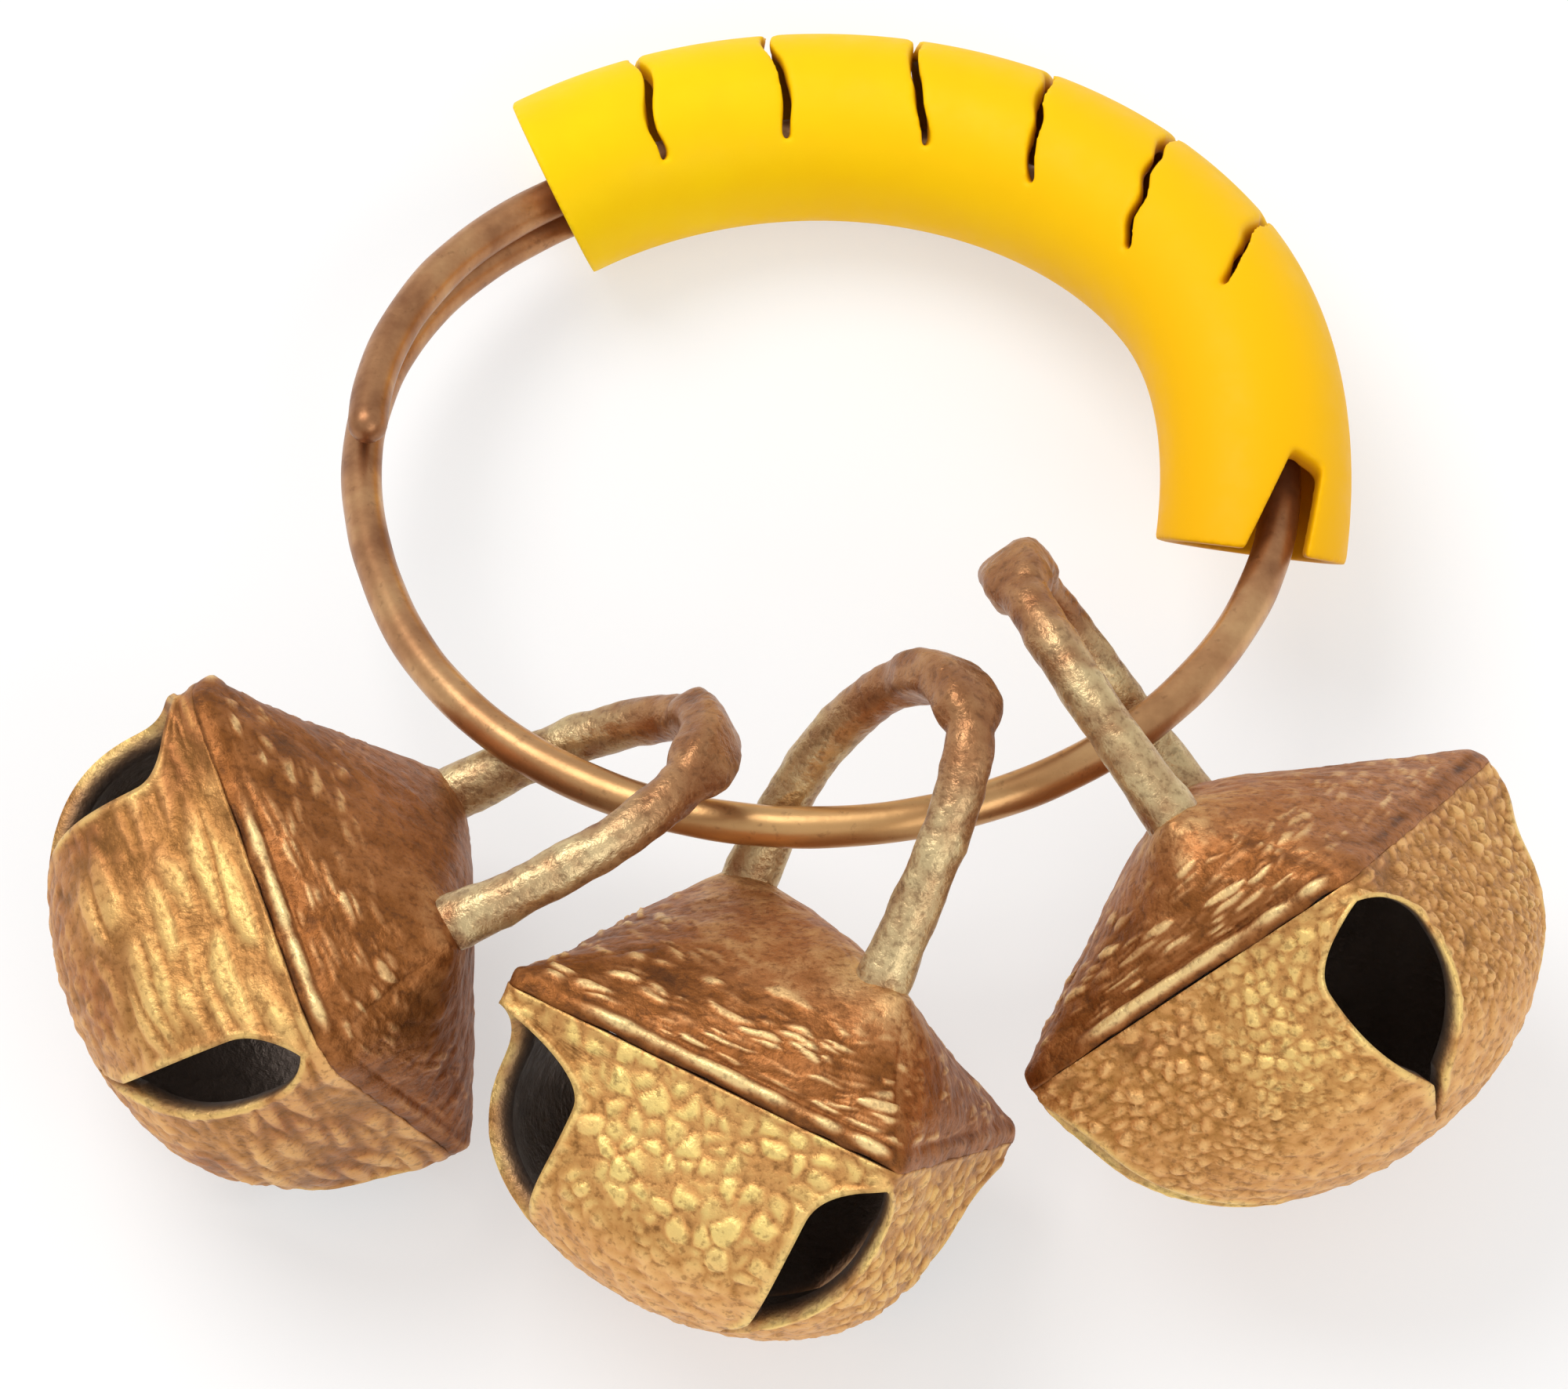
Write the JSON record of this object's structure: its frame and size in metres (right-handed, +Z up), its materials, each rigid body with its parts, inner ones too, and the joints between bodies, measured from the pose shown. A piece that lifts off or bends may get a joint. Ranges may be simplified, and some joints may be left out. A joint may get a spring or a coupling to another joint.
{
  "type": "finger bells",
  "caption": "Cast brass crotal bells threaded by their loops on a bent copper wire ring, with a slit vinyl tube on the ring as a finger grip.",
  "frame": {"origin": "under the middle of the object's box, on the table that it lies on", "axes": "+Z up from the table, +Y from the bells towards the finger grip, +X to the right with the bells in front"},
  "size_m": [0.073, 0.0752, 0.0295],
  "materials": {
    "brass_bowl": "rough cast, satin",
    "crown_patina": "cast ribs under a reddish brown patina",
    "loop_brass": "rubbed bright at the legs",
    "copper_wire": "tarnished copper wire, satin",
    "yellow_vinyl": "soft semi gloss",
    "iron_pellet": "dull"
  },
  "bodies": {
    "ring": {"ring_wire": "copper_wire"},
    "grip": {"finger_grip": "yellow_vinyl"},
    "left_bell": {"left_bell_crown": "crown_patina", "left_bell_bowl": "brass_bowl", "left_bell_loop": "loop_brass"},
    "left_pellet": {"left_bell_pellet": "iron_pellet"},
    "middle_bell": {"middle_bell_crown": "crown_patina", "middle_bell_bowl": "brass_bowl", "middle_bell_loop": "loop_brass"},
    "middle_pellet": {"middle_bell_pellet": "iron_pellet"},
    "right_bell": {"right_bell_crown": "crown_patina", "right_bell_bowl": "brass_bowl", "right_bell_loop": "loop_brass"},
    "right_pellet": {"right_bell_pellet": "iron_pellet"}
  },
  "joints": [
    {"name": "grip_slide_round", "type": "hinge", "parent": "ring", "child": "grip", "pos_m": [0.00145, 0.00938, 0.01005], "axis": [-0.0386, 0.2756, 0.9605], "range_deg": [-10, 20]},
    {"name": "left_bell_swing", "type": "hinge", "parent": "ring", "child": "left_bell", "pos_m": [-0.0141, -0.00681, 0.01407], "axis": [0.7304, -0.6482, 0.2153], "range_deg": [-25, 6]},
    {"name": "left_pellet_rattle", "type": "slide", "parent": "left_bell", "child": "left_pellet", "axis": [0, 0, 1], "range_m": [0, 0.0085]},
    {"name": "middle_bell_swing", "type": "hinge", "parent": "ring", "child": "middle_bell", "pos_m": [-0.00106, -0.01243, 0.01621], "axis": [0.9932, -0.0955, 0.0673], "range_deg": [-6, 20]},
    {"name": "middle_pellet_rattle", "type": "slide", "parent": "middle_bell", "child": "middle_pellet", "axis": [0, 0, 1], "range_m": [0, 0.0085]},
    {"name": "right_bell_swing", "type": "hinge", "parent": "ring", "child": "right_bell", "pos_m": [0.01818, -0.00532, 0.01494], "axis": [0.6781, 0.7132, -0.1774], "range_deg": [-20, 8]},
    {"name": "right_pellet_rattle", "type": "slide", "parent": "right_bell", "child": "right_pellet", "axis": [0, 0, 1], "range_m": [0, 0.0115]}
  ]
}
